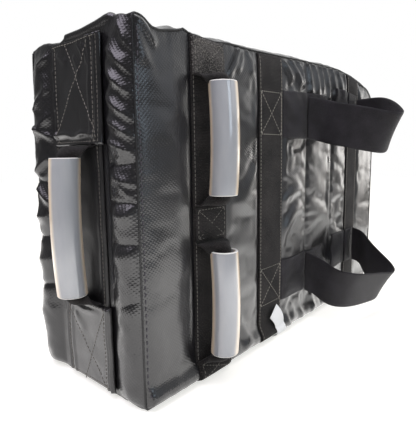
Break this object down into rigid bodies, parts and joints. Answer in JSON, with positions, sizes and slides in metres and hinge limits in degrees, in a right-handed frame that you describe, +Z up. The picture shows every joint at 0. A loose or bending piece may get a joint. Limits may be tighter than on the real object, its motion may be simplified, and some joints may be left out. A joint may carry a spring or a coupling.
{
  "type": "strike shield",
  "caption": "Oblong foam-filled training shield in a vinyl cover, with clear hose grips on webbing, arm loops on the user's face and a carrying grip on one end.",
  "frame": {"origin": "middle of the long side that the shield stands on", "axes": "+X along the length, away from the end with a grip; +Y through the thickness, towards the struck face; +Z up, across the width"},
  "size_m": [0.6344, 0.3087, 0.38],
  "materials": {
    "vinyl_cover": "calendered vinyl on woven backing, semi-gloss, near black",
    "vinyl_trim": "calendered vinyl, semi-gloss, near black",
    "foam": "closed-cell foam, matt, inside the cover",
    "coarse_webbing": "coarse woven polypropylene webbing, matt",
    "loop_webbing": "close-woven nylon webbing, low sheen",
    "clear_hose": "extruded clear PVC hose, milky",
    "label_satin": "white satin tape, blank"
  },
  "bodies": {
    "shield": {"back_panel": "vinyl_cover", "strike_panel": "vinyl_cover", "near_end_panel": "vinyl_cover", "far_end_panel": "vinyl_cover", "upper_side_panel": "vinyl_cover", "lower_side_panel": "vinyl_cover", "back_foam": "foam", "core_foam": "foam", "strike_foam": "foam", "grip_band": "coarse_webbing", "loop_band_near": "coarse_webbing", "loop_band_far": "coarse_webbing", "grip_anchor_upper": "coarse_webbing", "grip_anchor_middle": "coarse_webbing", "grip_anchor_lower": "coarse_webbing", "end_strip": "vinyl_trim", "end_patch_upper": "vinyl_trim", "end_patch_lower": "vinyl_trim", "upper_grip_lower_leg": "coarse_webbing", "upper_grip_upper_leg": "coarse_webbing", "lower_grip_lower_leg": "coarse_webbing", "lower_grip_upper_leg": "coarse_webbing", "end_grip_lower_leg": "coarse_webbing", "end_grip_upper_leg": "coarse_webbing", "upper_loop_near_leg": "loop_webbing", "upper_loop_far_leg": "loop_webbing", "upper_loop_near_root": "loop_webbing", "upper_loop_near_tuck": "loop_webbing", "upper_loop_far_root": "loop_webbing", "upper_loop_far_tuck": "loop_webbing", "lower_loop_near_leg": "loop_webbing", "lower_loop_far_leg": "loop_webbing", "lower_loop_near_root": "loop_webbing", "lower_loop_near_tuck": "loop_webbing", "lower_loop_far_root": "loop_webbing", "lower_loop_far_tuck": "loop_webbing"},
    "upper_grip": {"upper_grip_core": "coarse_webbing"},
    "upper_hose": {"upper_grip_hose": "clear_hose"},
    "lower_grip": {"lower_grip_core": "coarse_webbing"},
    "lower_hose": {"lower_grip_hose": "clear_hose"},
    "end_grip": {"end_grip_core": "coarse_webbing"},
    "end_hose": {"end_grip_hose": "clear_hose"},
    "upper_loop": {"upper_loop": "loop_webbing"},
    "lower_loop": {"lower_loop": "loop_webbing"},
    "label": {"care_label": "label_satin"}
  },
  "joints": [
    {"name": "upper_grip_swing", "type": "hinge", "parent": "shield", "child": "upper_grip", "pos_m": [-0.1985, -0.09205, 0.26475], "axis": [0, 0, 1], "range_deg": [-28, 28], "stiffness_Nm_per_rad": 0.02, "deforming": ["upper_grip_lower_leg", "upper_grip_upper_leg"]},
    {"name": "upper_hose_turn", "type": "hinge", "parent": "upper_grip", "child": "upper_hose", "pos_m": [-0.1985, -0.11265, 0.26475], "axis": [0, 0, 1], "range_deg": [-40, 40]},
    {"name": "lower_grip_swing", "type": "hinge", "parent": "shield", "child": "lower_grip", "pos_m": [-0.1985, -0.09203, 0.09225], "axis": [0, 0, 1], "range_deg": [-28, 28], "stiffness_Nm_per_rad": 0.02, "deforming": ["lower_grip_lower_leg", "lower_grip_upper_leg"]},
    {"name": "lower_hose_turn", "type": "hinge", "parent": "lower_grip", "child": "lower_hose", "pos_m": [-0.1985, -0.11263, 0.09225], "axis": [0, 0, 1], "range_deg": [-40, 40]},
    {"name": "end_grip_swing", "type": "hinge", "parent": "shield", "child": "end_grip", "pos_m": [-0.2963, -0.01, 0.179], "axis": [0, 0, 1], "range_deg": [-28, 28], "stiffness_Nm_per_rad": 0.02, "deforming": ["end_grip_lower_leg", "end_grip_upper_leg"]},
    {"name": "end_hose_turn", "type": "hinge", "parent": "end_grip", "child": "end_hose", "pos_m": [-0.3169, -0.01, 0.179], "axis": [0, 0, 1], "range_deg": [-28, 28]},
    {"name": "upper_loop_sway", "type": "hinge", "parent": "shield", "child": "upper_loop", "pos_m": [0.1017, -0.089, 0.306], "axis": [1, 0, 0], "range_deg": [-20, 20], "stiffness_Nm_per_rad": 0.1, "deforming": ["upper_loop_near_leg", "upper_loop_far_leg"]},
    {"name": "lower_loop_sway", "type": "hinge", "parent": "shield", "child": "lower_loop", "pos_m": [0.1017, -0.089, 0.082], "axis": [1, 0, 0], "range_deg": [-20, 12], "stiffness_Nm_per_rad": 0.1, "deforming": ["lower_loop_near_leg", "lower_loop_far_leg"]},
    {"name": "label_flop", "type": "hinge", "parent": "shield", "child": "label", "pos_m": [-0.0595, -0.09158, 0.002], "axis": [1, 0, 0], "range_deg": [-2, 70], "stiffness_Nm_per_rad": 0.02}
  ]
}
